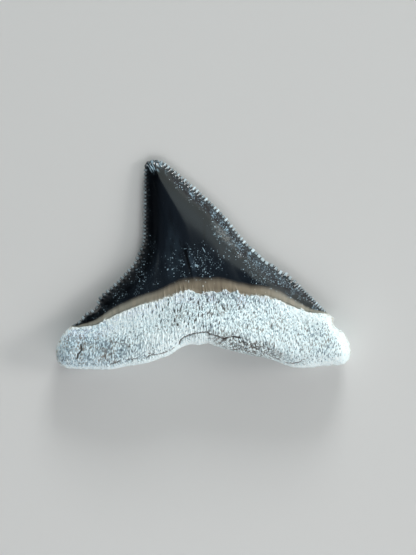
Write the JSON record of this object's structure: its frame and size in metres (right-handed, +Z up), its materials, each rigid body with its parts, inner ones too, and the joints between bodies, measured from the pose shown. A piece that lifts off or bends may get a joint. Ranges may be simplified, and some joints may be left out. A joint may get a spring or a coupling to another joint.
{
  "type": "fossil bull shark tooth",
  "caption": "Fossil shark tooth lying flat: a serrated, slanted, dark enamel crown above a curved pale root with two lobes.",
  "frame": {"origin": "middle of the footprint, on the surface that the tooth lies on", "axes": "+X along the root from the low heel's side to the high heel's side, +Y from the root towards the tip of the crown, +Z up out of the rounded inner face"},
  "size_m": [0.025, 0.0178, 0.0045],
  "materials": {
    "fossil": "glossy blue-black fossil enamel on the crown, a smooth brown band at the neck, chalky pitted off-white root"
  },
  "bodies": {
    "root": {"tooth": "fossil"}
  },
  "joints": []
}
